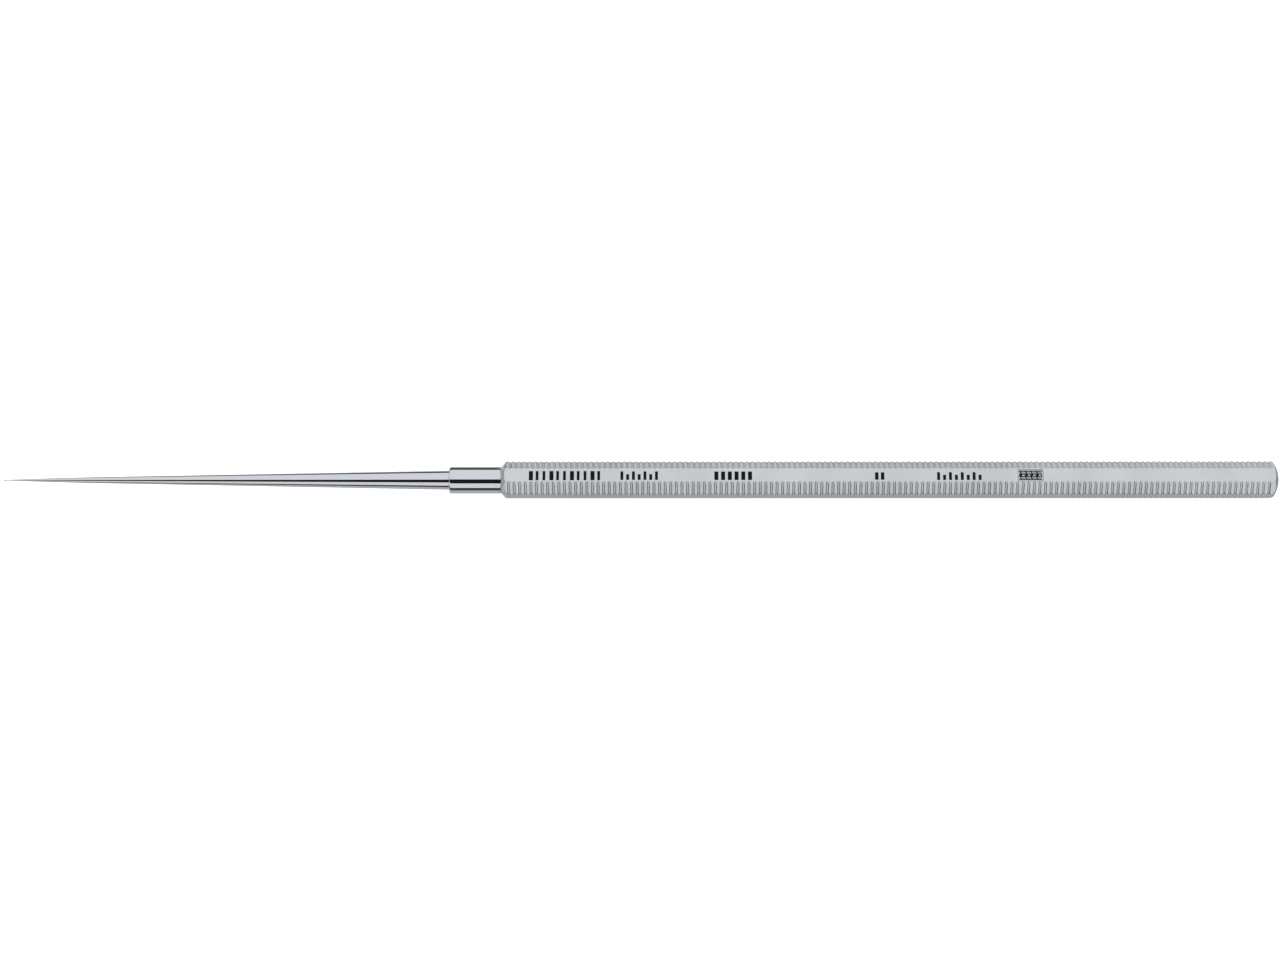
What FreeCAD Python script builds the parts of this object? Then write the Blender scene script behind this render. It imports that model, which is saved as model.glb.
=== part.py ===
import FreeCAD, Part
import math
import os

# Straight dental explorer: a polished needle, a polished collar and an octagonal grooved handle.
# The instrument lies along X with its point towards -X, and rests on one handle face at z = 0.
# The smooth face of the handle, which carries the marks, points up.

# ---- Lengths along X ------------------------------------------------------------------
needle_reach = 57.7          # point of the needle to the front of the collar
collar_length = 6.7          # polished cylinder between needle and handle
seat_gap = 0.05              # hairline left between the collar's shoulder and the handle
handle_length = 100.55       # front of the handle to the crown of its tail

# ---- Needle ---------------------------------------------------------------------------
needle_seat_width = 0.15     # ring of the needle's base that seats on the collar's front
needle_neck_d = 0.87         # where the long cone turns into the steeper point
needle_point_length = 13.7   # length of that steeper point
needle_tip_r = 0.05          # radius of the very end
shank_d = 2.0                # straight part hidden in the collar and the handle
shank_past_spigot = 3.3      # how far the shank runs on behind the collar's spigot

# ---- Collar ---------------------------------------------------------------------------
collar_d = 3.5
collar_front_round = 0.25    # rounding of the edge that meets the needle
collar_back_round = 0.08     # rounding of the edge at the handle
shoulder_width = 0.3         # step from the collar down to its spigot
spigot_length = 6.0          # part of the collar that goes into the handle

# ---- Filler metal ---------------------------------------------------------------------
needle_braze_wall = 0.1      # filler between shank and collar
collar_braze_wall = 0.1      # filler between spigot and handle

# ---- Handle ---------------------------------------------------------------------------
handle_across_flats = 4.5
handle_edge_round = 0.2      # rounding of the eight long edges
smooth_face_drop = 0.06      # how much deeper the smooth face is ground than the others
nose_step = 0.01             # how far the nose starts outside the collar
nose_angle = 48              # degrees between the turned nose and the axis
nose_edge_round = 0.3        # where the nose meets the bar
tail_dome_r = 4.1            # spherical tail
tail_edge_round = 0.3        # where the tail meets the bar
shank_clearance = 0.03       # radial play of the shank in its pilot hole
shank_end_gap = 0.5          # room behind the shank

# ---- Grooves --------------------------------------------------------------------------
groove_pitch = 0.721
groove_top_width = 0.4
groove_floor_width = 0.06
groove_depth = 0.14
groove_front_margin = 1.05   # front of the handle to the middle of the first groove
groove_tail_margin = 0.8     # least distance from the last groove's middle to the crown
groove_skew = 0.1            # the bar was cut slightly askew: shift of the rows at either side
groove_lower_shift = 0.5     # share of a pitch by which the three lower rows are set back

# ---- Places that follow from the sizes -------------------------------------------------
overall_length = needle_reach + collar_length + seat_gap + handle_length
x_point = -overall_length / 2
x_collar = x_point + needle_reach
x_shoulder = x_collar + collar_length
x_handle = x_shoulder + seat_gap
x_crown = x_handle + handle_length
x_spigot_end = x_shoulder + spigot_length
x_shank_end = x_spigot_end + shank_past_spigot

sides = 8
sector = 360 / sides
flat_r = handle_across_flats / 2
corner_r = flat_r / math.cos(math.radians(sector / 2))
axis_z = flat_r
collar_bore_d = shank_d + 2 * needle_braze_wall
needle_base_d = collar_bore_d + 2 * needle_seat_width
spigot_d = collar_d - 2 * shoulder_width
socket_d = spigot_d + 2 * collar_braze_wall
pilot_d = shank_d + 2 * shank_clearance

overrun = 1.0                # how far a cutter starts outside the metal
groove_overrun = 0.1         # the same for a groove, so that next cutters in a row stay apart
tolerance = 1e-6


def at(x, r):
    """A point at distance r above the instrument's axis, in the plane that is revolved."""
    return FreeCAD.Vector(x, 0, axis_z + r)


def line(start, end):
    return Part.makeLine(start, end)


def arc(start, middle, end):
    return Part.Arc(start, middle, end).toShape()


def rounded_corner(before, corner, after, radius):
    """Start, middle and end of the arc that rounds the corner between two straight runs."""
    arriving = (corner - before).normalize()
    leaving = (after - corner).normalize()
    half_turn = arriving.getAngle(leaving) / 2
    reach = radius * math.tan(half_turn)
    inward = (leaving - arriving).normalize()
    middle = corner + inward * (radius / math.cos(half_turn) - radius)
    return corner - arriving * reach, middle, corner + leaving * reach


def revolved(edges):
    """Turn a closed outline about the instrument's axis."""
    face = Part.Face(Part.Wire(edges))
    return face.revolve(at(0, 0), FreeCAD.Vector(1, 0, 0), 360)


def tube(x_start, x_end, inner_d, outer_d):
    outline = [at(x_start, inner_d / 2), at(x_start, outer_d / 2)]
    outline += [at(x_end, outer_d / 2), at(x_end, inner_d / 2)]
    return revolved([line(a, b) for a, b in zip(outline, outline[1:] + outline[:1])])


def rod(x_start, x_end, diameter):
    place = FreeCAD.Vector(x_start, 0, axis_z)
    return Part.makeCylinder(diameter / 2, x_end - x_start, place, FreeCAD.Vector(1, 0, 0))


def make_needle():
    """Long cone, steeper arched point with a tiny round end, and the hidden shank."""
    crown = at(x_point, 0)
    tip_middle = at(x_point + needle_tip_r * (1 - math.sin(math.pi / 4)),
                    needle_tip_r * math.cos(math.pi / 4))
    tip_end = at(x_point + needle_tip_r, needle_tip_r)
    neck = at(x_point + needle_point_length, needle_neck_d / 2)
    base = at(x_collar, needle_base_d / 2)
    # The arched point leaves the cone in the cone's own direction.
    run = neck - tip_end
    cone_lean = math.atan2(base.z - neck.z, base.x - neck.x)
    run_lean = math.atan2(run.z, run.x)
    bulge = run.Length / 2 * math.tan((run_lean - cone_lean) / 2)
    arch_middle = tip_end + run / 2 + FreeCAD.Vector(-math.sin(run_lean), 0, math.cos(run_lean)) * bulge
    step = at(x_collar, shank_d / 2)
    tail = at(x_shank_end, shank_d / 2)
    tail_axis = at(x_shank_end, 0)
    return revolved([
        arc(crown, tip_middle, tip_end),
        arc(tip_end, arch_middle, neck),
        line(neck, base),
        line(base, step),
        line(step, tail),
        line(tail, tail_axis),
        line(tail_axis, crown),
    ])


def make_collar():
    """Polished cylinder with rounded ends, a spigot behind it and a bore right through."""
    bore_front = at(x_collar, collar_bore_d / 2)
    front_corner = at(x_collar, collar_d / 2)
    back_corner = at(x_shoulder, collar_d / 2)
    spigot_root = at(x_shoulder, spigot_d / 2)
    spigot_end = at(x_spigot_end, spigot_d / 2)
    bore_back = at(x_spigot_end, collar_bore_d / 2)
    front = rounded_corner(bore_front, front_corner, back_corner, collar_front_round)
    back = rounded_corner(front_corner, back_corner, spigot_root, collar_back_round)
    return revolved([
        line(bore_front, front[0]),
        arc(*front),
        line(front[2], back[0]),
        arc(*back),
        line(back[2], spigot_root),
        line(spigot_root, spigot_end),
        line(spigot_end, bore_back),
        line(bore_back, bore_front),
    ])


def octagon_bar():
    """The bar before it is turned: eight flats, rounded long edges, one flat ground deeper."""
    corners = []
    for index in range(sides):
        angle = math.radians(90 + sector / 2 + index * sector)
        corners.append(FreeCAD.Vector(x_handle, corner_r * math.cos(angle),
                                      axis_z + corner_r * math.sin(angle)))
    outline = Part.makePolygon(corners + corners[:1])
    bar = Part.Face(outline).extrude(FreeCAD.Vector(handle_length, 0, 0))
    long_edges = [e for e in bar.Edges if abs(e.Length - handle_length) < tolerance]
    bar = bar.makeFillet(handle_edge_round, long_edges)
    slab_place = FreeCAD.Vector(x_handle - overrun, -corner_r, axis_z + flat_r - smooth_face_drop)
    slab = Part.makeBox(handle_length + 2 * overrun, 2 * corner_r, overrun, slab_place)
    return bar.cut(slab)


def turned_envelope():
    """Solid of revolution that gives the bar its tapered nose and its domed tail."""
    nose_r = collar_d / 2 + nose_step
    nose_run = (corner_r - nose_r) / math.tan(math.radians(nose_angle))
    nose_start = at(x_handle, nose_r)
    nose_corner = at(x_handle + nose_run, corner_r)
    nose = rounded_corner(nose_start, nose_corner, at(x_crown, corner_r), nose_edge_round)
    # The tail's rounding touches the dome from inside and the bar's outer radius.
    dome_centre = at(x_crown - tail_dome_r, 0)
    inner_r = corner_r - tail_edge_round
    round_centre = dome_centre + FreeCAD.Vector(
        math.sqrt((tail_dome_r - tail_edge_round) ** 2 - inner_r ** 2), 0, inner_r)
    outward = (round_centre - dome_centre).normalize()
    half_way = (outward + FreeCAD.Vector(0, 0, 1)).normalize()
    tail_start = round_centre + FreeCAD.Vector(0, 0, tail_edge_round)
    tail_middle = round_centre + half_way * tail_edge_round
    tail_end = dome_centre + outward * tail_dome_r
    dome_middle = dome_centre + (outward + FreeCAD.Vector(1, 0, 0)).normalize() * tail_dome_r
    return revolved([
        line(at(x_handle, 0), nose_start),
        line(nose_start, nose[0]),
        arc(*nose),
        line(nose[2], tail_start),
        arc(tail_start, tail_middle, tail_end),
        arc(tail_end, dome_middle, at(x_crown, 0)),
        line(at(x_crown, 0), at(x_handle, 0)),
    ])


def groove_cutter(x_middle):
    """One straight groove across the top of the bar: a V with a narrow flat floor."""
    wall_lean = (groove_top_width - groove_floor_width) / 2 / groove_depth
    height = groove_depth + groove_overrun
    half_floor = groove_floor_width / 2
    half_mouth = half_floor + wall_lean * height
    z_floor = axis_z + flat_r - groove_depth
    outline = [(-half_floor, 0), (half_floor, 0), (half_mouth, height), (-half_mouth, height)]
    points = [FreeCAD.Vector(x_middle + dx, -corner_r, z_floor + dz) for dx, dz in outline]
    face = Part.Face(Part.makePolygon(points + points[:1]))
    return face.extrude(FreeCAD.Vector(0, 2 * corner_r, 0))


def groove_row(index):
    """The cutters of one face's whole row; face 0 is the smooth one and has none."""
    turn = index * sector
    first = groove_front_margin - groove_skew * math.sin(math.radians(turn))
    if math.cos(math.radians(turn)) < -0.5:
        first += groove_lower_shift * groove_pitch
    count = int((handle_length - first - groove_tail_margin) / groove_pitch) + 1
    cutters = [groove_cutter(x_handle + first + n * groove_pitch) for n in range(count)]
    row = Part.makeCompound(cutters)
    row.rotate(at(0, 0), FreeCAD.Vector(1, 0, 0), turn)
    return row


def make_handle():
    """Octagonal bar, turned at both ends, bored from the front and grooved on seven faces."""
    body = octagon_bar().common(turned_envelope())
    body = body.cut(rod(x_handle - overrun, x_spigot_end, socket_d))
    body = body.cut(rod(x_handle, x_shank_end + shank_end_gap, pilot_d))
    return body.cut([groove_row(index) for index in range(1, sides)])


def save(name, shape):
    """Write one piece after checking that it is one sound solid."""
    solids = shape.Solids
    assert len(solids) == 1 and solids[0].isValid(), name
    solids[0].exportStep(os.path.join("parts", name + ".step"))
    print(f"{name}: {solids[0].Volume:.4f} mm3, {len(solids[0].Faces)} faces")


os.makedirs("parts", exist_ok=True)
save("needle", make_needle())
save("collar", make_collar())
save("handle", make_handle())
save("needle_braze", tube(x_collar, x_spigot_end, shank_d, collar_bore_d))
save("collar_braze", tube(x_handle, x_spigot_end, spigot_d, socket_d))
print(f"overall length {overall_length:.2f} mm, {handle_across_flats:.2f} mm across flats")
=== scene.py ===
"""Looks of a straight dental explorer: polished needle, polished collar, grooved steel handle."""

import logging
import math
from dataclasses import dataclass, field
from enum import Enum
from typing import Any, Sequence

import bpy
import numpy as np
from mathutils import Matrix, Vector

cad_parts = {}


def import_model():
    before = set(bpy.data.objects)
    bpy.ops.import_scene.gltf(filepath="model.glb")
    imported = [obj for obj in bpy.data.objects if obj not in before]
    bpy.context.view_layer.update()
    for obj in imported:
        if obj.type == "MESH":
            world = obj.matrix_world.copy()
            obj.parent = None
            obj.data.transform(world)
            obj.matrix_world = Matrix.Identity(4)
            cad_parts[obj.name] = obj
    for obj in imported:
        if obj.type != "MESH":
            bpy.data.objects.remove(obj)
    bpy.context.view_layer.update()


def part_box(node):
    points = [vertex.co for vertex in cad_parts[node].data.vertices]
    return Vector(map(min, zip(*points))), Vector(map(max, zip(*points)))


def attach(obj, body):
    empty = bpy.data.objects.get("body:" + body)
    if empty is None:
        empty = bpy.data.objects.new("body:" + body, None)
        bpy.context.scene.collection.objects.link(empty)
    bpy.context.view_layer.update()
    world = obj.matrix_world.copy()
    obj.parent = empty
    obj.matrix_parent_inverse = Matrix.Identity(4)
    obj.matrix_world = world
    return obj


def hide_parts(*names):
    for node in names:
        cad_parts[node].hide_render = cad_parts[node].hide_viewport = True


LOG = logging.getLogger("dental_explorer")
MM = 0.001
BODY = "root"
FLATNESS_WEIGHT = 60


# ---------------------------------------------------------------------------- colours and nodes


def linear_colour(hex_code: str) -> tuple[float, float, float, float]:
    """Turn an sRGB hex colour into the linear colour that a shader takes.

    Args:
        hex_code: six hex digits, such as "c6cbce".

    Returns:
        Linear red, green, blue and an alpha of one.
    """
    channels = []
    for start in (0, 2, 4):
        value = int(hex_code[start:start + 2], 16) / 255
        channels.append(value / 12.92 if value <= 0.04045 else ((value + 0.055) / 1.055) ** 2.4)
    return channels[0], channels[1], channels[2], 1.0


def add_node(
    tree: bpy.types.NodeTree,
    kind: str,
    settings: dict[str, Any] | None = None,
    inputs: dict[str | int, Any] | None = None,
) -> bpy.types.Node:
    """Add one shader node with its settings and what feeds it.

    Args:
        tree: node tree that gets the node.
        kind: Blender's name of the node type.
        settings: attributes to set on the node.
        inputs: socket name or number to a constant, or to the output socket that feeds it.

    Returns:
        The new node.
    """
    node = tree.nodes.new(kind)
    for name, value in (settings or {}).items():
        setattr(node, name, value)
    for name, value in (inputs or {}).items():
        if isinstance(value, bpy.types.NodeSocket):
            tree.links.new(value, node.inputs[name])
        else:
            node.inputs[name].default_value = value
    return node


def colour_stops(ramp: bpy.types.Node, stops: Sequence[tuple[float, str]]) -> None:
    """Set the stops of a colour ramp node.

    Args:
        ramp: the colour ramp node, which starts with two stops.
        stops: place from 0 to 1 and sRGB hex colour of each stop.
    """
    elements = ramp.color_ramp.elements
    while len(elements) < len(stops):
        elements.new(1.0)
    for element, (place, hex_code) in zip(elements, stops):
        element.position = place
        element.color = linear_colour(hex_code)


def new_material(name: str) -> tuple[bpy.types.Material, bpy.types.NodeTree]:
    """Make an empty node material.

    Args:
        name: name of the finish.

    Returns:
        The material and its cleared node tree.
    """
    material = bpy.data.materials.new(name)
    material.use_nodes = True
    material.node_tree.nodes.clear()
    return material, material.node_tree


# ---------------------------------------------------------------------------- finishes


@dataclass(frozen=True)
class MirrorPolishedSteel:
    """Stainless steel, lapped and buffed to a mirror.

    It shows its surroundings sharply, as bright and black bands along its length. Buffing leaves
    faint waves a few millimetres long and hair scratches that only soften the bands a little.
    """

    name: str = "mirror_polished_stainless_steel"
    colour: str = "cdd1d6"
    roughness_low: float = 0.035
    roughness_high: float = 0.085
    haze_mm: float = 2.5
    scratch_mm: float = 0.25
    scratch_relief_mm: float = 0.0004

    def build(self) -> bpy.types.Material:
        """Make the material."""
        material, tree = new_material(self.name)
        place = add_node(tree, "ShaderNodeTexCoord").outputs["Object"]
        haze = add_node(tree, "ShaderNodeTexNoise", {"noise_dimensions": "3D"},
                        {"Vector": place, "Scale": 1 / (self.haze_mm * MM), "Detail": 3.0})
        roughness = add_node(tree, "ShaderNodeMapRange", None,
                             {"Value": haze.outputs["Fac"], "From Min": 0.3, "From Max": 0.7,
                              "To Min": self.roughness_low, "To Max": self.roughness_high})
        # Buffing runs round the piece, so the scratches are short along the axis and long around it.
        lie = add_node(tree, "ShaderNodeMapping", None,
                       {"Vector": place, "Scale": (1.0, 0.08, 0.08)})
        scratch = add_node(tree, "ShaderNodeTexNoise", {"noise_dimensions": "3D"},
                           {"Vector": lie.outputs["Vector"], "Scale": 1 / (self.scratch_mm * MM),
                            "Detail": 4.0})
        relief = add_node(tree, "ShaderNodeBump", None,
                          {"Height": scratch.outputs["Fac"], "Strength": 1.0,
                           "Distance": self.scratch_relief_mm * MM})
        shader = add_node(tree, "ShaderNodeBsdfPrincipled", None,
                          {"Base Color": linear_colour(self.colour), "Metallic": 1.0,
                           "Roughness": roughness.outputs["Result"], "Normal": relief.outputs["Normal"]})
        add_node(tree, "ShaderNodeOutputMaterial", None, {"Surface": shader.outputs["BSDF"]})
        return material


@dataclass(frozen=True)
class BlastedSteel:
    """Stainless steel, glass-bead blasted to an even matt.

    Bead dents scatter the light, so the faces look soft and pale with no sharp reflection. The
    dents of real bead blasting are 0.05 mm wide. They are drawn about five times as wide here,
    because they would be too fine to show.
    """

    name: str = "bead_blasted_stainless_steel"
    colours: tuple[tuple[float, str], ...] = ((0.35, "c2c7ca"), (0.65, "cacfd1"))
    roughness_low: float = 0.19
    roughness_high: float = 0.26
    cloud_mm: float = 6.0
    grain_mm: float = 0.25
    grain_relief_mm: float = 0.0012

    def build(self) -> bpy.types.Material:
        """Make the material."""
        material, tree = new_material(self.name)
        place = add_node(tree, "ShaderNodeTexCoord").outputs["Object"]
        cloud = add_node(tree, "ShaderNodeTexNoise", {"noise_dimensions": "3D"},
                         {"Vector": place, "Scale": 1 / (self.cloud_mm * MM), "Detail": 4.0})
        tint = add_node(tree, "ShaderNodeValToRGB", None, {"Fac": cloud.outputs["Fac"]})
        colour_stops(tint, self.colours)
        grain = add_node(tree, "ShaderNodeTexNoise", {"noise_dimensions": "3D"},
                         {"Vector": place, "Scale": 1 / (self.grain_mm * MM), "Detail": 3.0})
        roughness = add_node(tree, "ShaderNodeMapRange", None,
                             {"Value": grain.outputs["Fac"], "From Min": 0.3, "From Max": 0.7,
                              "To Min": self.roughness_low, "To Max": self.roughness_high})
        relief = add_node(tree, "ShaderNodeBump", None,
                          {"Height": grain.outputs["Fac"], "Strength": 1.0,
                           "Distance": self.grain_relief_mm * MM})
        shader = add_node(tree, "ShaderNodeBsdfPrincipled", None,
                          {"Base Color": tint.outputs["Color"], "Metallic": 1.0,
                           "Roughness": roughness.outputs["Result"], "Normal": relief.outputs["Normal"]})
        add_node(tree, "ShaderNodeOutputMaterial", None, {"Surface": shader.outputs["BSDF"]})
        return material


@dataclass(frozen=True)
class LaserOxide:
    """Black oxide that a marking laser leaves in stainless steel.

    The skin is dark and faintly shiny, with slightly uneven depth from the laser's passes.
    """

    name: str = "laser_annealed_black_oxide"
    colours: tuple[tuple[float, str], ...] = ((0.3, "08080a"), (0.7, "131315"))
    roughness: float = 0.55
    specular: float = 0.12
    pass_mm: float = 0.12

    def build(self) -> bpy.types.Material:
        """Make the material."""
        material, tree = new_material(self.name)
        place = add_node(tree, "ShaderNodeTexCoord").outputs["Object"]
        passes = add_node(tree, "ShaderNodeTexNoise", {"noise_dimensions": "3D"},
                          {"Vector": place, "Scale": 1 / (self.pass_mm * MM), "Detail": 2.0})
        tint = add_node(tree, "ShaderNodeValToRGB", None, {"Fac": passes.outputs["Fac"]})
        colour_stops(tint, self.colours)
        shader = add_node(tree, "ShaderNodeBsdfPrincipled", None,
                          {"Base Color": tint.outputs["Color"], "Metallic": 0.0,
                           "Specular IOR Level": self.specular, "Roughness": self.roughness})
        add_node(tree, "ShaderNodeOutputMaterial", None, {"Surface": shader.outputs["BSDF"]})
        return material


@dataclass(frozen=True)
class SilverBraze:
    """Silver braze, flowed and left as it set: a warm pale metal with small ripples."""

    name: str = "silver_braze"
    colours: tuple[tuple[float, str], ...] = ((0.3, "cfc19a"), (0.7, "e0d6b8"))
    roughness: float = 0.3
    ripple_mm: float = 0.4
    ripple_relief_mm: float = 0.01

    def build(self) -> bpy.types.Material:
        """Make the material."""
        material, tree = new_material(self.name)
        place = add_node(tree, "ShaderNodeTexCoord").outputs["Object"]
        ripple = add_node(tree, "ShaderNodeTexNoise", {"noise_dimensions": "3D"},
                          {"Vector": place, "Scale": 1 / (self.ripple_mm * MM), "Detail": 2.0})
        tint = add_node(tree, "ShaderNodeValToRGB", None, {"Fac": ripple.outputs["Fac"]})
        colour_stops(tint, self.colours)
        relief = add_node(tree, "ShaderNodeBump", None,
                          {"Height": ripple.outputs["Fac"], "Strength": 1.0,
                           "Distance": self.ripple_relief_mm * MM})
        shader = add_node(tree, "ShaderNodeBsdfPrincipled", None,
                          {"Base Color": tint.outputs["Color"], "Metallic": 1.0,
                           "Roughness": self.roughness, "Normal": relief.outputs["Normal"]})
        add_node(tree, "ShaderNodeOutputMaterial", None, {"Surface": shader.outputs["BSDF"]})
        return material


# ---------------------------------------------------------------------------- meshes


def make_object(name: str, points: np.ndarray, faces: Sequence[Sequence[int]],
                sharp_degrees: float) -> bpy.types.Object:
    """Make a smooth-shaded mesh object from points in millimetres.

    Args:
        name: name of the piece.
        points: one row of x, y, z per vertex, in millimetres.
        faces: vertex numbers of each face.
        sharp_degrees: edges that turn by more than this stay sharp.

    Returns:
        The linked object, with flat areas kept flat by weighted normals.
    """
    mesh = bpy.data.meshes.new(name)
    mesh.from_pydata((np.asarray(points) * MM).tolist(), [], [list(face) for face in faces])
    mesh.validate()
    mesh.shade_smooth()
    mesh.set_sharp_from_angle(angle=math.radians(sharp_degrees))
    piece = bpy.data.objects.new(name, mesh)
    bpy.context.scene.collection.objects.link(piece)
    weighted = piece.modifiers.new("flat_faces_stay_flat", "WEIGHTED_NORMAL")
    weighted.mode = "FACE_AREA"
    weighted.weight = FLATNESS_WEIGHT
    weighted.keep_sharp = True
    return piece


def ring_faces(rings: int, around: int) -> list[tuple[int, int, int, int]]:
    """Faces between rings of vertices that are numbered ring by ring.

    Args:
        rings: number of rings.
        around: vertices in each ring.

    Returns:
        One four-cornered face for each step along and around.
    """
    faces = []
    for ring in range(rings - 1):
        low = ring * around
        for step in range(around):
            after = (step + 1) % around
            faces.append((low + step, low + after, low + around + after, low + around + step))
    return faces


def arc_points(centre: tuple[float, float], radius: float, start: float, end: float,
               steps: int) -> list[tuple[float, float]]:
    """Points on an arc in the plane of a turned outline.

    Args:
        centre: x and r of the arc's centre, in millimetres.
        radius: radius in millimetres.
        start: first angle in degrees from the +X direction.
        end: last angle in degrees.
        steps: number of steps.

    Returns:
        x and r of each point, both ends included.
    """
    angles = np.radians(np.linspace(start, end, steps + 1))
    return [(centre[0] + radius * math.cos(a), centre[1] + radius * math.sin(a)) for a in angles]


def straight_points(start: tuple[float, float], end: tuple[float, float],
                    steps: int) -> list[tuple[float, float]]:
    """Evenly spaced points on a straight run of a turned outline.

    Args:
        start: x and r where the run starts, in millimetres.
        end: x and r where it ends.
        steps: number of steps.

    Returns:
        x and r of each point but the first, which the outline has already.
    """
    shares = np.linspace(0, 1, steps + 1)[1:]
    return [(start[0] + (end[0] - start[0]) * s, start[1] + (end[1] - start[1]) * s) for s in shares]


def turned_piece(name: str, outline: Sequence[tuple[float, float]], axis_z: float, closed: bool,
                 around: int = 96, sharp_degrees: float = 35.0) -> bpy.types.Object:
    """Turn an outline about the instrument's axis.

    Args:
        name: name of the piece.
        outline: x and r of each point, in millimetres. An open outline starts and ends on the axis.
        axis_z: height of the axis, in millimetres.
        closed: True for a ring, whose outline runs back to its first point.
        around: steps around the axis.
        sharp_degrees: edges that turn by more than this stay sharp.

    Returns:
        The turned object.
    """
    angles = np.linspace(0, 2 * math.pi, around, endpoint=False)
    inner = list(outline) if closed else list(outline)[1:-1]
    points = [(x, r * math.sin(a), axis_z + r * math.cos(a)) for x, r in inner for a in angles]
    faces: list[tuple[int, ...]] = list(ring_faces(len(inner), around))
    if closed:
        last = (len(inner) - 1) * around
        for step in range(around):
            after = (step + 1) % around
            faces.append((last + step, last + after, after, step))
    else:
        for x, first in ((outline[0][0], 0), (outline[-1][0], (len(inner) - 1) * around)):
            pole = len(points)
            points.append((x, 0.0, axis_z))
            for step in range(around):
                after = (step + 1) % around
                corner = (first + after, first + step) if first == 0 else (first + step, first + after)
                faces.append((pole, *corner))
    return make_object(name, np.array(points), faces, sharp_degrees)


def finish_piece(piece: bpy.types.Object, material: bpy.types.Material, slot: str,
                 *nodes: str) -> None:
    """Dress a piece and put it on the instrument's body.

    Args:
        piece: the object.
        material: its finish.
        slot: material slot of the record that it belongs to; not used.
        nodes: CAD nodes that the piece stands for.
    """
    piece.data.materials.append(material)
    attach(piece, BODY)
    if nodes:
        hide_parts(*nodes)
    LOG.info("%s: %d vertices, %d faces", piece.name, len(piece.data.vertices), len(piece.data.polygons))


# ---------------------------------------------------------------------------- the instrument


@dataclass(frozen=True)
class Stations:
    """Places and radii along the instrument, read from the frame, in millimetres."""

    point_x: float
    collar_x: float
    handle_x: float
    crown_x: float
    spigot_end_x: float
    shank_end_x: float
    axis_z: float
    needle_base_r: float
    collar_r: float
    needle_braze_r: float
    collar_braze_r: float
    flat_r: float
    smooth_z: float

    @staticmethod
    def from_frame() -> "Stations":
        """Read the CAD nodes' boxes.

        Returns:
            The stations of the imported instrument.
        """
        boxes = {node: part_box(node) for node in
                 ("needle", "collar", "handle", "needle_braze", "collar_braze")}
        radii = {node: (high.y - low.y) / 2 for node, (low, high) in boxes.items()}
        needle_low, needle_high = boxes["needle"]
        collar_low, collar_high = boxes["collar"]
        handle_low, handle_high = boxes["handle"]
        return Stations(
            point_x=needle_low.x / MM,
            collar_x=collar_low.x / MM,
            handle_x=handle_low.x / MM,
            crown_x=handle_high.x / MM,
            spigot_end_x=collar_high.x / MM,
            shank_end_x=needle_high.x / MM,
            axis_z=(handle_low.z + radii["handle"]) / MM,
            needle_base_r=radii["needle"] / MM,
            collar_r=radii["collar"] / MM,
            needle_braze_r=radii["needle_braze"] / MM,
            collar_braze_r=radii["collar_braze"] / MM,
            flat_r=radii["handle"] / MM,
            smooth_z=handle_high.z / MM,
        )


@dataclass
class Needle:
    """The polished taper with its arched point and the straight shank hidden behind it."""

    stations: Stations
    neck_r: float = 0.435
    point_length: float = 13.7
    tip_r: float = 0.05
    tip_start_degrees: float = 165.0
    shank_r: float = 1.0
    tip_steps: int = 5
    point_steps: int = 28
    cone_steps: int = 40
    shank_steps: int = 8
    around: int = 96

    def outline(self) -> list[tuple[float, float]]:
        """Outline from the point to the end of the shank, as x and r in millimetres."""
        s = self.stations
        neck = (s.point_x + self.point_length, self.neck_r)
        base = (s.collar_x, s.needle_base_r)
        cone_slope = (base[1] - neck[1]) / (base[0] - neck[0])
        tip = (s.point_x + self.tip_r, self.tip_r)
        run, rise = neck[0] - tip[0], neck[1] - tip[1]
        # The arched point starts steeper than its chord by as much as it ends shallower.
        bend = rise / run - cone_slope
        outline = [(s.point_x, 0.0)]
        outline += arc_points(tip, self.tip_r, self.tip_start_degrees, 90, self.tip_steps)
        for share in np.linspace(0, 1, self.point_steps + 1)[1:]:
            arch = bend * run * share * (1 - share)
            outline.append((tip[0] + run * share, tip[1] + rise * share + arch))
        outline += straight_points(neck, base, self.cone_steps)
        outline += [(s.collar_x, self.shank_r)]
        outline += straight_points(outline[-1], (s.shank_end_x, self.shank_r), self.shank_steps)
        outline += [(s.shank_end_x, 0.0)]
        return outline

    def build(self, finish: bpy.types.Material) -> bpy.types.Object:
        """Make and dress the needle.

        Args:
            finish: the polished steel.

        Returns:
            The needle.
        """
        piece = turned_piece("needle_polished", self.outline(), self.stations.axis_z, False,
                             self.around)
        finish_piece(piece, finish, "polished_steel", "needle")
        return piece


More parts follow.
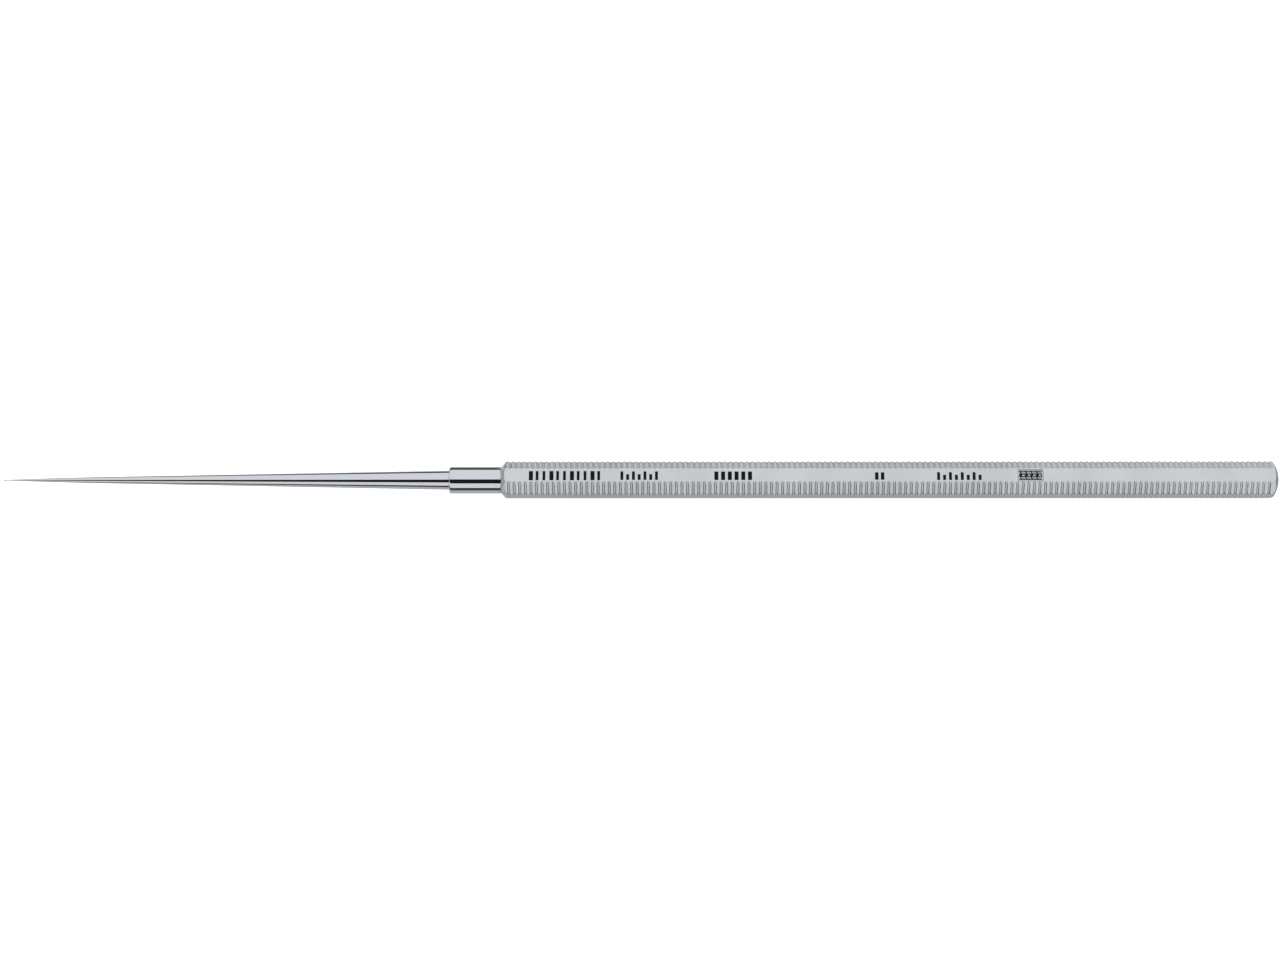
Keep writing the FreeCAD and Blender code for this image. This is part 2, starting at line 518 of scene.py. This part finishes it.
@dataclass
class Collar:
    """The polished ferrule, with rounded ends, a spigot behind it and a bore through it."""

    stations: Stations
    front_round: float = 0.25
    back_round: float = 0.08
    seat_gap: float = 0.05
    braze_wall: float = 0.1
    round_steps: int = 8
    barrel_steps: int = 24
    hidden_steps: int = 6
    around: int = 112

    def outline(self) -> list[tuple[float, float]]:
        """Closed outline of the ferrule, as x and r in millimetres."""
        s = self.stations
        shoulder_x = s.handle_x - self.seat_gap
        spigot_r = s.collar_braze_r - self.braze_wall
        bore_r = s.needle_braze_r
        front_centre = (s.collar_x + self.front_round, s.collar_r - self.front_round)
        back_centre = (shoulder_x - self.back_round, s.collar_r - self.back_round)
        outline = [(s.collar_x, bore_r)]
        outline += arc_points(front_centre, self.front_round, 180, 90, self.round_steps)
        outline += straight_points(outline[-1], (back_centre[0], s.collar_r), self.barrel_steps)
        outline += arc_points(back_centre, self.back_round, 90, 0, self.round_steps)[1:]
        outline += [(shoulder_x, spigot_r)]
        outline += straight_points(outline[-1], (s.spigot_end_x, spigot_r), self.hidden_steps)
        outline += [(s.spigot_end_x, bore_r)]
        outline += straight_points(outline[-1], (s.collar_x, bore_r), self.hidden_steps)[:-1]
        return outline

    def build(self, finish: bpy.types.Material) -> bpy.types.Object:
        """Make and dress the collar.

        Args:
            finish: the polished steel.

        Returns:
            The collar.
        """
        piece = turned_piece("collar_polished", self.outline(), self.stations.axis_z, True,
                             self.around)
        finish_piece(piece, finish, "polished_steel", "collar")
        return piece


@dataclass
class BrazeSleeve:
    """One hidden sleeve of filler metal."""

    name: str
    node: str
    start_x: float
    end_x: float
    inner_r: float
    outer_r: float
    axis_z: float
    steps: int = 6
    around: int = 96

    def build(self, finish: bpy.types.Material) -> bpy.types.Object:
        """Make and dress the sleeve.

        Args:
            finish: the braze.

        Returns:
            The sleeve.
        """
        outside = straight_points((self.start_x, self.outer_r), (self.end_x, self.outer_r), self.steps)
        inside = straight_points((self.end_x, self.inner_r), (self.start_x, self.inner_r), self.steps)
        outline = [(self.start_x, self.outer_r), *outside, (self.end_x, self.inner_r), *inside]
        piece = turned_piece(self.name, outline, self.axis_z, True, self.around)
        finish_piece(piece, finish, "braze_metal", self.node)
        return piece


@dataclass
class GroovedHandle:
    """Octagonal bar with a smooth top face, seven grooved faces, a turned nose and a domed tail.

    The skin is one grid: columns across the bar, and the same number of vertices around every
    column. Each column's section is an octagon whose sides sink where that side has a groove.
    """

    stations: Stations
    smooth_drop: float = 0.06
    edge_round: float = 0.13
    ground_edge_round: float = 0.03
    nose_step: float = 0.01
    nose_degrees: float = 48.0
    nose_edge_round: float = 0.3
    tail_dome_r: float = 4.1
    tail_edge_round: float = 0.3
    turned_edge_soft: float = 0.03
    groove_pitch: float = 0.721
    groove_floor_half: float = 0.03
    groove_mouth_half: float = 0.20
    groove_depth: float = 0.14
    groove_front_margin: float = 1.05
    groove_tail_margin: float = 0.8
    groove_skew: float = 0.1
    lower_sides: tuple[int, int] = (3, 6)
    lower_set_back: float = 0.5
    pilot_r: float = 1.03
    pilot_end_gap: float = 0.5
    skew_front: float = 0.15
    skew_tail: float = 1.6
    skew_run: float = 0.4
    arc_steps: int = 3
    flat_steps: int = 5
    nose_columns: int = 22
    tail_columns: int = 60
    dome_columns: int = 14
    dome_run: float = 0.62
    land_offsets: tuple[float, ...] = (0.15, 0.17, 0.25, 0.33)
    sides: int = 8
    sharp_degrees: float = 30.0
    turns: np.ndarray = field(init=False)
    firsts: np.ndarray = field(init=False)
    counts: np.ndarray = field(init=False)

    def __post_init__(self) -> None:
        """Work out where each side's row of grooves starts and how many it has."""
        self.turns = np.arange(self.sides) * 2 * math.pi / self.sides
        self.firsts = self.groove_front_margin - self.groove_skew * np.sin(self.turns)
        self.firsts[slice(*self.lower_sides)] += self.groove_pitch * self.lower_set_back
        room = self.length - self.firsts - self.groove_tail_margin
        self.counts = (room / self.groove_pitch).astype(int) + 1
        self.counts[0] = 0

    @property
    def length(self) -> float:
        """Distance from the handle's front to the crown of its tail."""
        return self.stations.crown_x - self.stations.handle_x

    @property
    def corner_r(self) -> float:
        """Distance from the axis to the bar's sharp corners."""
        return self.stations.flat_r / math.cos(math.pi / self.sides)

    def side_height(self, side: np.ndarray, x: np.ndarray) -> np.ndarray:
        """Distance of a side's surface from the axis, grooves included.

        Args:
            side: side number of each place; side 0 is the smooth one.
            x: distance of each place from the handle's front.

        Returns:
            Distance from the axis, in millimetres.
        """
        side = np.mod(side, self.sides)
        count = self.counts[side]
        nearest = np.round((x - self.firsts[side]) / self.groove_pitch)
        number = np.clip(nearest, 0, np.maximum(count - 1, 0))
        away = np.abs(x - self.firsts[side] - number * self.groove_pitch)
        share = (away - self.groove_floor_half) / (self.groove_mouth_half - self.groove_floor_half)
        share = np.clip(share, 0, 1)
        depth = self.groove_depth * (1 - share)
        return self.stations.flat_r - np.where(side == 0, self.smooth_drop, depth)

    def nose_limit(self, x: np.ndarray) -> np.ndarray:
        """Radius to which the front is turned.

        Args:
            x: distance of each place from the handle's front.

        Returns:
            Cone, then a rounding, then more than the bar's own radius.
        """
        nose_r = self.stations.collar_r + self.nose_step
        slope = math.tan(math.radians(self.nose_degrees))
        nose_run = (self.corner_r - nose_r) / slope
        reach = self.nose_edge_round * math.tan(math.radians(self.nose_degrees) / 2)
        cone = nose_r + slope * np.maximum(x, 0)
        from_end = np.clip(nose_run + reach - x, 0, self.nose_edge_round)
        inner_r = self.corner_r - self.nose_edge_round
        rounded = inner_r + np.sqrt(self.nose_edge_round ** 2 - from_end ** 2)
        start = nose_run - reach * math.cos(math.radians(self.nose_degrees))
        return np.where(x < start, cone, np.where(x < nose_run + reach, rounded, self.corner_r + 1))

    def tail_limit(self, x: np.ndarray) -> np.ndarray:
        """Radius to which the tail is turned.

        Args:
            x: distance of each place from the handle's front.

        Returns:
            More than the bar's own radius, then a rounding, then a shallow dome.
        """
        edge = self.tail_edge_round
        centre = self.length - self.tail_dome_r
        dome = np.sqrt(np.maximum(self.tail_dome_r ** 2 - np.maximum(x - centre, 0) ** 2, 0))
        inner_r = self.corner_r - edge
        round_x = centre + math.sqrt((self.tail_dome_r - edge) ** 2 - inner_r ** 2)
        meet_x = centre + (round_x - centre) * self.tail_dome_r / (self.tail_dome_r - edge)
        rounded = inner_r + np.sqrt(edge ** 2 - np.clip(x - round_x, 0, edge) ** 2)
        return np.where(x < round_x, self.corner_r + 1, np.where(x < meet_x, rounded, dome))

    def columns(self) -> np.ndarray:
        """Distances from the handle's front at which the skin has a column of vertices.

        Returns:
            Distances in millimetres, rising.
        """
        nose_end = self.groove_front_margin - self.groove_pitch / 2
        nose = np.linspace(0, nose_end, self.nose_columns)[:-1]
        offsets = sorted({0.0, *self.land_offsets, self.groove_pitch / 2,
                          *(self.groove_pitch - o for o in self.land_offsets)})
        whole = int(self.counts.max()) - 2
        grooved = [nose_end + n * self.groove_pitch + o for n in range(whole) for o in offsets]
        dome_start = self.length - self.dome_run
        tail_start = nose_end + whole * self.groove_pitch
        tail = np.linspace(tail_start, dome_start, self.tail_columns)[:-1]
        centre = self.length - self.tail_dome_r
        edge = math.acos((dome_start - centre) / self.tail_dome_r)
        turns = np.linspace(edge, edge / self.dome_columns, self.dome_columns)
        return np.concatenate([nose, grooved, tail, centre + self.tail_dome_r * np.cos(turns)])

    def places_around(self) -> tuple[np.ndarray, np.ndarray, np.ndarray]:
        """Places of the vertices around one column.

        Returns:
            Side number, share along the side's flat, and share along its corner's arc, or -1.
        """
        places: list[tuple[int, float, float]] = []
        for side in range(self.sides):
            places += [(side, step / self.flat_steps, -1.0) for step in range(1, self.flat_steps)]
            places += [(side, -1.0, step / self.arc_steps) for step in range(self.arc_steps + 1)]
        side, flat_share, arc_share = (np.array(row)[None, :] for row in zip(*places))
        return side, flat_share, arc_share

    def skewed(self, side: np.ndarray, corner_share: np.ndarray) -> np.ndarray:
        """Distance of each vertex from the handle's front.

        A side's row of grooves starts a little before or after its neighbour's, and the corner
        between them shares this out. Nose and tail are turned, so they have none of it.

        Args:
            side: side number of each place around.
            corner_share: share of the way round the corner to the next side.

        Returns:
            One row of distances per column, in millimetres.
        """
        base = self.columns()
        shift = -self.groove_skew * np.sin(self.turns)
        row_shift = shift[side] + corner_share * (shift[(side + 1) % self.sides] - shift[side])
        inside = np.minimum(base - self.skew_front, self.length - self.skew_tail - base)
        return base[:, None] + row_shift * np.clip(inside / self.skew_run, 0, 1)[:, None]

    def turned_down(self, radius: np.ndarray, x: np.ndarray) -> np.ndarray:
        """Cut the bar's radius to the turned nose and tail, with the edge just broken.

        Args:
            radius: radius of each vertex on the octagonal bar.
            x: its distance from the handle's front.

        Returns:
            The smaller radius.
        """
        limit = np.minimum(self.nose_limit(x), self.tail_limit(x))
        soft = self.turned_edge_soft
        near_edge = np.maximum(soft - np.abs(radius - limit), 0)
        return np.minimum(radius, limit) - near_edge ** 2 / (4 * soft)

    def skin(self) -> np.ndarray:
        """Vertices of the outside, one row of the grid per column.

        Returns:
            Array of column, place around, and x, y, z in millimetres about the axis.
        """
        half = math.pi / self.sides
        rounds = np.full(self.sides, self.edge_round)
        # The smooth face is ground last, so its two edges are left nearly sharp.
        rounds[[0, -1]] = self.ground_edge_round
        side, flat_share, arc_share = self.places_around()
        on_arc = arc_share >= 0
        x = self.skewed(side, np.where(on_arc, arc_share, 0))
        last_height, height, next_height = (
            self.side_height(np.broadcast_to(side + offset, x.shape), x) for offset in (-1, 0, 1))
        # Along a side, t runs from its corner with the side before to its corner with the next.
        sine, cosine = math.sin(2 * half), math.cos(2 * half)
        end_t = (next_height - height * cosine) / sine
        start_t = -(last_height - height * cosine) / sine
        start_reach, reach = (rounds[number] * math.tan(half) for number in (side - 1, side))
        run = end_t - start_t - start_reach - reach
        flat_t = (start_t + start_reach) + run * np.where(on_arc, 0, flat_share)
        turn = self.turns[side]
        arc_turn = turn + arc_share * 2 * half
        arc_height, arc_t = height - rounds[side], end_t - reach
        cos, sin = np.cos(turn), np.sin(turn)
        arc_up = arc_height * cos - arc_t * sin + rounds[side] * np.cos(arc_turn)
        arc_near = arc_height * sin + arc_t * cos + rounds[side] * np.sin(arc_turn)
        up = np.where(on_arc, arc_up, height * cos - flat_t * sin)
        near = np.where(on_arc, arc_near, height * sin + flat_t * cos)
        radius = np.hypot(up, near)
        scale = self.turned_down(radius, x) / radius
        return np.stack([x, -near * scale, up * scale], axis=2)

    def build(self, finish: bpy.types.Material) -> bpy.types.Object:
        """Make and dress the handle, with its bores from the front.

        Args:
            finish: the blasted steel.

        Returns:
            The handle.
        """
        s = self.stations
        skin = self.skin()
        around = skin.shape[1]
        angles = np.arctan2(skin[0, :, 1], skin[0, :, 2])
        pilot_end = s.shank_end_x + self.pilot_end_gap - s.handle_x
        bores = [(pilot_end, self.pilot_r), (s.spigot_end_x - s.handle_x, self.pilot_r),
                 (s.spigot_end_x - s.handle_x, s.collar_braze_r), (0.0, s.collar_braze_r)]
        inner = [np.stack([np.full(around, x), r * np.sin(angles), r * np.cos(angles)], axis=1)
                 for x, r in bores]
        rings = np.concatenate([np.array(inner), skin])
        points = rings.reshape(-1, 3)
        faces: list[tuple[int, ...]] = list(ring_faces(len(rings), around))
        last = (len(rings) - 1) * around
        poles = np.array([[pilot_end, 0, 0], [self.length, 0, 0]])
        points = np.concatenate([points, poles]) + np.array([s.handle_x, 0, s.axis_z])
        for step in range(around):
            after = (step + 1) % around
            faces.append((len(points) - 2, after, step))
            faces.append((len(points) - 1, last + step, last + after))
        piece = make_object("handle_blasted", points, faces, self.sharp_degrees)
        finish_piece(piece, finish, "satin_steel", "handle")
        return piece


class MarkKind(Enum):
    """The plain patterns that the laser leaves on the smooth face."""

    BARS = "bars"
    BLOCKS = "blocks"
    DASHES = "dashes"
    PATCH = "patch"


@dataclass(frozen=True)
class Mark:
    """One mark: its pattern, where it starts and ends from the handle's front, and its height."""

    kind: MarkKind
    start: float
    end: float
    height: float
    pitch: float = 0.5
    ink: float = 0.45
    lift: float = 0.0


@dataclass
class LaserMarks:
    """Plain marks on the smooth face: bars, blocks and a framed patch, with no letters."""

    stations: Stations
    proud: float = 0.003
    sunk: float = 0.004
    middle_y: float = -0.07
    wide_bar: float = 1.25
    narrow_bar: float = 0.85
    short_dash: float = 0.35
    patch_gap: float = 0.11
    square_fill: float = 0.98
    sharp_degrees: float = 30.0
    marks: tuple[Mark, ...] = (
        Mark(MarkKind.BARS, 3.6, 13.3, 1.24, 0.88, 0.48),
        Mark(MarkKind.DASHES, 15.4, 20.6, 1.15, 0.8, 0.5),
        Mark(MarkKind.BLOCKS, 27.5, 32.7, 1.15, 0.87, 0.6, -0.02),
        Mark(MarkKind.BLOCKS, 48.2, 49.7, 1.0, 0.75, 0.6, -0.06),
        Mark(MarkKind.DASHES, 56.2, 62.3, 1.05, 0.8, 0.5, -0.07),
        Mark(MarkKind.PATCH, 66.6, 69.9, 1.6, 0.14, 0.05, 0.04),
    )

    def rectangles(self, mark: Mark) -> list[tuple[float, float, float, float]]:
        """Rectangles that make up one mark.

        Args:
            mark: the mark.

        Returns:
            Lowest x, highest x, lowest y and highest y of each, in millimetres about the middle.
        """
        half = mark.height / 2
        count = max(1, round((mark.end - mark.start) / mark.pitch))
        step = (mark.end - mark.start) / count
        boxes = []
        for n in range(count):
            width, top = step * mark.ink, half
            if mark.kind is MarkKind.BARS:
                width *= self.wide_bar if n % 3 == 0 else self.narrow_bar
            elif mark.kind is MarkKind.DASHES and n % 2 == 1:
                top = half * self.short_dash
            low = mark.start + n * step
            boxes.append((low, low + width, -half, top))
        return boxes

    def patch(self, mark: Mark) -> list[tuple[float, float, float, float]]:
        """Rectangles of the framed patch: a thin frame around an even scatter of small squares.

        Args:
            mark: the mark; its ink is the frame's line width and its pitch the squares' spacing.

        Returns:
            Lowest x, highest x, lowest y and highest y of each, in millimetres about the middle.
        """
        half = mark.height / 2
        line = mark.ink
        boxes = [(mark.start, mark.end, half - line, half), (mark.start, mark.end, -half, -half + line),
                 (mark.start, mark.start + line, -half + line, half - line),
                 (mark.end - line, mark.end, -half + line, half - line)]
        inset = line + self.patch_gap
        low_x, high_x = mark.start + inset, mark.end - inset
        low_y, high_y = -half + inset, half - inset
        across, up = int((high_x - low_x) / mark.pitch), int((high_y - low_y) / mark.pitch)
        step_x, step_y = (high_x - low_x) / across, (high_y - low_y) / up
        for i in range(across):
            for j in range(up):
                # A plain repeating scatter, about four fifths of the squares filled.
                if (i * i * 3 + j * j * 4 + i * j + 2 * j) % 5 != 1:
                    x, y = low_x + i * step_x, low_y + j * step_y
                    boxes.append((x, x + step_x * self.square_fill, y, y + step_y * self.square_fill))
        return boxes

    def build(self, finish: bpy.types.Material) -> bpy.types.Object:
        """Make all the marks as one thin dark skin let into the smooth face.

        Args:
            finish: the oxide.

        Returns:
            The marks.
        """
        s = self.stations
        points: list[tuple[float, float, float]] = []
        faces: list[tuple[int, ...]] = []
        box_faces = ((3, 2, 1, 0), (4, 5, 6, 7), (0, 1, 5, 4), (1, 2, 6, 5), (2, 3, 7, 6), (3, 0, 4, 7))
        for mark in self.marks:
            boxes = self.patch(mark) if mark.kind is MarkKind.PATCH else self.rectangles(mark)
            for low_x, high_x, low_y, high_y in boxes:
                first = len(points)
                for z in (s.smooth_z - self.sunk, s.smooth_z + self.proud):
                    for x, y in ((low_x, low_y), (high_x, low_y), (high_x, high_y), (low_x, high_y)):
                        points.append((s.handle_x + x, self.middle_y + mark.lift + y, z))
                faces += [tuple(first + corner for corner in quad) for quad in box_faces]
        piece = make_object("laser_marks", np.array(points), faces, self.sharp_degrees)
        finish_piece(piece, finish, "satin_steel")
        return piece


# ---------------------------------------------------------------------------- the studio


@dataclass
class Studio:
    """White table, two large soft lights with a dark gap between them, and the camera."""

    middle: Vector
    elevation_degrees: float = 73.3
    azimuth_degrees: float = -0.015
    lens_mm: float = 85.0
    clip_start: float = 0.01
    sensor_mm: float = 36.0
    frame_width_mm: float = 165.8
    aim_x_mm: float = -0.13
    light_distance: float = 0.9
    light_length: float = 4.9
    light_shift: float = -0.2
    far_span: tuple[float, float] = (79.0, 172.5)
    near_span: tuple[float, float] = (0.5, 43.8)
    far_radiance: float = 1.0
    near_radiance: float = 0.95
    table_half: float = 0.42
    table_glow: float = 0.85
    strip_edge_mm: float = 40.0
    # Grey stops across the table, in mm from the axis, of painted light that only the steel mirrors: the
    # darker stops beside and under the instrument are painted shadow, the pale ones painted light.
    collar_painted_light_strip: tuple[tuple[float, str], ...] = (
        (-12.0, "000000"), (-6.2, "b8b8b8"), (-3.4, "dcdcdc"), (-1.9, "acacac"), (0.0, "a0a0a0"),
        (1.4, "d0d0d0"), (3.0, "f4f4f4"), (8.0, "c4c4c4"), (17.0, "000000"))
    handle_painted_light_strip: tuple[tuple[float, str], ...] = (
        (-12.0, "000000"), (-6.2, "b0b0b0"), (-3.4, "cecece"), (-2.2, "b0b0b0"), (2.5, "a0a0a0"),
        (8.0, "a8a8a8"), (10.5, "f4f4f4"), (28.0, "ffffff"), (35.0, "000000"))
    handle_painted_light_x_mm: tuple[float, float] = (-19.5, -17.5)
    end_distance: float = 0.8
    end_size: tuple[float, float] = (1.2, 0.12)
    end_radiance: float = 1.0

    def camera(self) -> bpy.types.Object:
        """Place the camera above the instrument, a little to its near side.

        Returns:
            The camera.
        """
        data = bpy.data.cameras.new("camera")
        data.lens = self.lens_mm
        data.sensor_width = self.sensor_mm
        data.clip_start = self.clip_start
        distance = self.frame_width_mm * MM * self.lens_mm / self.sensor_mm
        camera = bpy.data.objects.new("camera", data)
        aim = self.middle + Vector((self.aim_x_mm * MM, 0, 0))
        rise = math.radians(self.elevation_degrees)
        turn = math.radians(self.azimuth_degrees)
        outward = Vector((math.cos(rise) * math.sin(turn), -math.cos(rise) * math.cos(turn),
                          math.sin(rise)))
        camera.location = aim + distance * outward
        camera.rotation_euler = (math.pi / 2 - rise, 0, turn)
        bpy.context.scene.collection.objects.link(camera)
        bpy.context.scene.camera = camera
        return camera

    def area_light(self, name: str, size: tuple[float, float], radiance: float, direction: Vector,
                   distance: float, offset: Vector) -> bpy.types.Object:
        """Hang one flat light that faces the instrument and that the camera doesn't see.

        Args:
            name: name of the light.
            size: its two sides, in metres.
            radiance: brightness of its surface; 1 is white.
            direction: from the instrument to the light.
            distance: how far away it is, in metres.
            offset: how far it is moved from there, in metres.

        Returns:
            The light.
        """
        data = bpy.data.lights.new(name, "AREA")
        data.shape = "RECTANGLE"
        data.size, data.size_y = size
        data.energy = radiance * math.pi * data.size * data.size_y
        light = bpy.data.objects.new(name, data)
        light.location = self.middle + distance * direction + offset
        light.rotation_euler = direction.to_track_quat("Z", "Y").to_euler()
        light.visible_camera = False
        bpy.context.scene.collection.objects.link(light)
        return light

    def soft_light(self, name: str, span: tuple[float, float], radiance: float) -> bpy.types.Object:
        """Hang one long flat light that covers a span of directions seen from the instrument.

        Args:
            name: name of the light.
            span: first and last direction, in degrees from the near horizon over the top.
            radiance: brightness of its surface; 1 is white.

        Returns:
            The light.
        """
        low, high = (math.radians(a) for a in span)
        turn = (low + high) / 2
        size = (self.light_length, 2 * self.light_distance * math.tan((high - low) / 2))
        direction = Vector((0, -math.cos(turn), math.sin(turn)))
        return self.area_light(name, size, radiance, direction, self.light_distance,
                               Vector((self.light_shift, 0, 0)))

    def end_card(self) -> bpy.types.Object:
        """Stand a soft light beyond the instrument's point, for the faces that look that way.

        Returns:
            The light.
        """
        return self.area_light("end_card", self.end_size, self.end_radiance, Vector((-1, 0, 0)),
                               self.end_distance, Vector((0, 0, self.end_size[1] / 2)))

    def table(self) -> bpy.types.Object:
        """Lay the white table under the instrument.

        Returns:
            The table.
        """
        half = self.table_half
        mesh = bpy.data.meshes.new("table")
        mesh.from_pydata([(-half, -half, 0), (half, -half, 0), (half, half, 0), (-half, half, 0)], [],
                         [(0, 1, 2, 3)])
        table = bpy.data.objects.new("table", mesh)
        bpy.context.scene.collection.objects.link(table)
        material, tree = new_material("white_table")
        # Camera rays see an even white table. All other rays see the emission below, made of bands of
        # painted light and painted shadow.
        seen = add_node(tree, "ShaderNodeLightPath").outputs["Is Camera Ray"]
        matt = add_node(tree, "ShaderNodeBsdfDiffuse", None, {"Color": linear_colour("e6e7e8")})
        glow = add_node(tree, "ShaderNodeEmission", None,
                        {"Color": linear_colour("ffffff"), "Strength": self.table_glow})
        white = add_node(tree, "ShaderNodeAddShader", None,
                         {0: matt.outputs["BSDF"], 1: glow.outputs["Emission"]})
        # What the steel mirrors: a band of painted light on the table under the instrument, wider under
        # the handle, darker beside and beneath the instrument as painted shadow, and a dark room beyond
        # it.
        place = add_node(tree, "ShaderNodeTexCoord").outputs["Object"]
        parts = add_node(tree, "ShaderNodeSeparateXYZ", None, {0: place})
        wide_from, wide_to = (x * MM for x in self.handle_painted_light_x_mm)
        edge = self.strip_edge_mm
        across = add_node(tree, "ShaderNodeMapRange", None,
                          {"Value": parts.outputs["Y"], "From Min": -edge * MM, "From Max": edge * MM})
        painted_light_greys = []
        for painted_light_stops in (self.collar_painted_light_strip, self.handle_painted_light_strip):
            ramp = add_node(tree, "ShaderNodeValToRGB", None, {"Fac": across.outputs["Result"]})
            colour_stops(ramp, [((y / edge + 1) / 2, grey) for y, grey in painted_light_stops])
            painted_light_greys.append(ramp.outputs["Color"])
        along = add_node(tree, "ShaderNodeMapRange", None,
                         {"Value": parts.outputs["X"], "From Min": wide_from, "From Max": wide_to})
        both = add_node(tree, "ShaderNodeMix", {"data_type": "RGBA"},
                        {"Factor": along.outputs["Result"], 6: painted_light_greys[0], 7: painted_light_greys[1]})
        # Emission of the painted light and painted shadow, which the camera never sees directly.
        painted_light_strip = add_node(tree, "ShaderNodeEmission", None,
                         {"Color": both.outputs[2], "Strength": 1.0})
        mixed = add_node(tree, "ShaderNodeMixShader", None,
                         {"Fac": seen, 1: painted_light_strip.outputs["Emission"], 2: white.outputs["Shader"]})
        add_node(tree, "ShaderNodeOutputMaterial", None, {"Surface": mixed.outputs["Shader"]})
        mesh.materials.append(material)
        return table

    def surroundings(self) -> None:
        """Set a dark room that looks white where the camera sees past the table."""
        world = bpy.data.worlds.new("room")
        world.use_nodes = True
        bpy.context.scene.world = world
        tree = world.node_tree
        tree.nodes.clear()
        seen = add_node(tree, "ShaderNodeLightPath").outputs["Is Camera Ray"]
        dark = add_node(tree, "ShaderNodeBackground", None,
                        {"Color": linear_colour("202123"), "Strength": 1.0})
        white = add_node(tree, "ShaderNodeBackground", None,
                         {"Color": linear_colour("ffffff"), "Strength": 1.0})
        mixed = add_node(tree, "ShaderNodeMixShader", None,
                         {"Fac": seen, 1: dark.outputs["Background"], 2: white.outputs["Background"]})
        add_node(tree, "ShaderNodeOutputWorld", None, {"Surface": mixed.outputs["Shader"]})

    def build(self) -> None:
        """Set up everything around the instrument."""
        self.camera()
        self.soft_light("far_soft_light", self.far_span, self.far_radiance)
        self.soft_light("near_soft_light", self.near_span, self.near_radiance)
        self.end_card()
        self.table()
        self.surroundings()
        bpy.context.scene.view_settings.view_transform = "Standard"


# ---------------------------------------------------------------------------- main


def main() -> None:
    """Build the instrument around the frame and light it."""
    logging.basicConfig(level=logging.INFO, format="%(name)s: %(message)s")
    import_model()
    stations = Stations.from_frame()
    polished = MirrorPolishedSteel().build()
    blasted = BlastedSteel().build()
    braze = SilverBraze().build()
    Needle(stations).build(polished)
    collar = Collar(stations)
    collar.build(polished)
    GroovedHandle(stations).build(blasted)
    for name, start_x, outer_r in (
        ("needle_braze", stations.collar_x, stations.needle_braze_r),
        ("collar_braze", stations.handle_x, stations.collar_braze_r),
    ):
        BrazeSleeve(name=f"{name}_sleeve", node=name, start_x=start_x, end_x=stations.spigot_end_x,
                    inner_r=outer_r - collar.braze_wall, outer_r=outer_r,
                    axis_z=stations.axis_z).build(braze)
    LaserMarks(stations).build(LaserOxide().build())
    Studio(Vector((0, 0, stations.axis_z * MM))).build()


if __name__ == "__main__":
    main()
